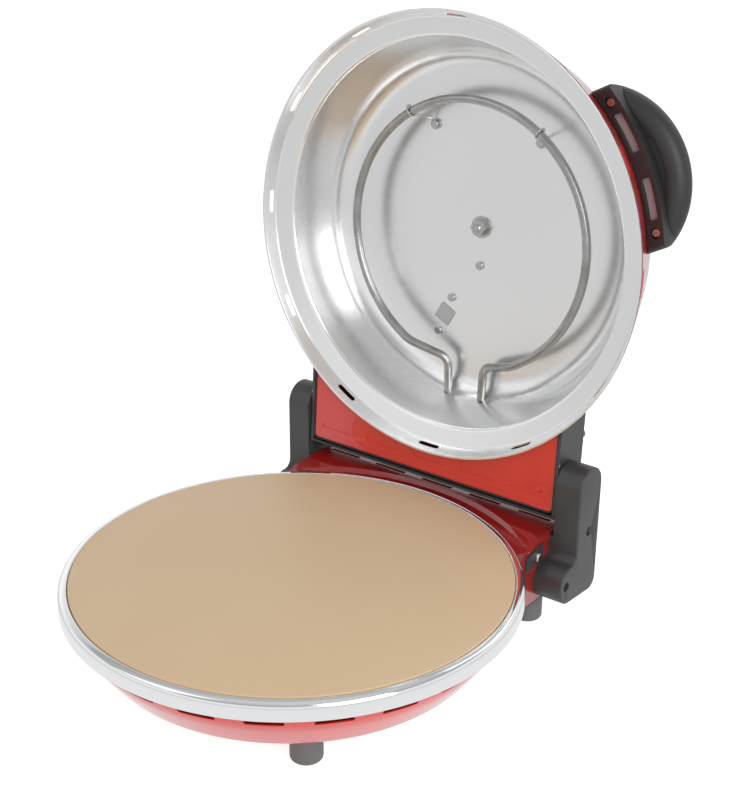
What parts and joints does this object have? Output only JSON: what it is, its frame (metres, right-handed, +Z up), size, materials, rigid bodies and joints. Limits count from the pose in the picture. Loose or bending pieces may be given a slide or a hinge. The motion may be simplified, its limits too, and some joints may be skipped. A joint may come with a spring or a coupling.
{
  "type": "electric pizza maker",
  "caption": "Countertop electric pizza oven: a round baking stone in a chrome-ringed bowl on feet, under a domed heating lid that swings up on a rear hinge.",
  "frame": {"origin": "centre of the baking stone's top face", "axes": "+Z up; +X to the right along the lid's hinge axis; the hinge is at the back, towards +Y, and the front faces -Y"},
  "size_m": [0.3385, 0.4232, 0.4386],
  "materials": {
    "red_gloss": "gloss",
    "red_moulding": "gloss",
    "chrome": "polished",
    "stone": "matt fired stone",
    "aluminium": "satin",
    "tube_steel": "dull",
    "ceramic": "matt ceramic",
    "black_moulding": "satin black",
    "black_grip": "matt black",
    "rubber": "matt",
    "screw_steel": "zinc plated"
  },
  "bodies": {
    "base": {"trim_ring": "chrome", "base_shell": "red_gloss", "lower_dish": "aluminium", "lower_element": "tube_steel", "loop_posts": "ceramic", "rear_housing": "red_moulding", "rear_floor": "black_moulding", "foot_front_right": "rubber", "foot_front_left": "rubber", "foot_rear_right": "rubber", "foot_rear_left": "rubber", "foot_screws": "screw_steel", "hinge_cover_right": "black_moulding", "hinge_cover_left": "black_moulding", "hinge_pin_right": "screw_steel", "hinge_pin_left": "screw_steel", "cover_screws_right": "screw_steel", "cover_screws_left": "screw_steel", "side_plate_right": "black_moulding", "side_plate_left": "black_moulding", "side_screw_right": "screw_steel", "side_screw_left": "screw_steel", "cord_inlet": "black_grip"},
    "stone": {"pizza_stone": "stone"},
    "lid": {"lid_dome": "red_gloss", "lid_reflector": "aluminium", "rim_seal": "rubber", "upper_element": "tube_steel", "element_clip_right": "screw_steel", "element_clip_left": "screw_steel", "clip_screws": "screw_steel", "centre_stud": "screw_steel", "centre_nut": "screw_steel", "thermostat": "screw_steel", "thermostat_screws": "screw_steel", "earth_screw": "screw_steel", "sensor_pad": "screw_steel", "lid_box": "black_moulding", "lid_panel": "red_gloss", "panel_frame": "black_moulding", "box_rivets": "screw_steel", "box_studs": "rubber", "handle_bracket": "black_grip", "handle_grip": "black_grip", "handle_strap": "screw_steel", "handle_screws": "screw_steel", "dial_plate": "black_grip"},
    "dial": {"knob": "black_grip", "knob_shaft": "screw_steel"}
  },
  "joints": [
    {"name": "lid_hinge", "type": "hinge", "parent": "base", "child": "lid", "pos_m": [0, 0.1781, 0.0189], "axis": [1, 0, 0], "range_deg": [0, 93.66]},
    {"name": "stone_lift", "type": "slide", "parent": "base", "child": "stone", "axis": [0, 0, 1], "range_m": [0, 0.007]},
    {"name": "knob_turn", "type": "hinge", "parent": "lid", "child": "dial", "pos_m": [-0.028, 0.24067, 0.11821], "axis": [0, 0.998, -0.0638], "range_deg": [0, 270]}
  ]
}
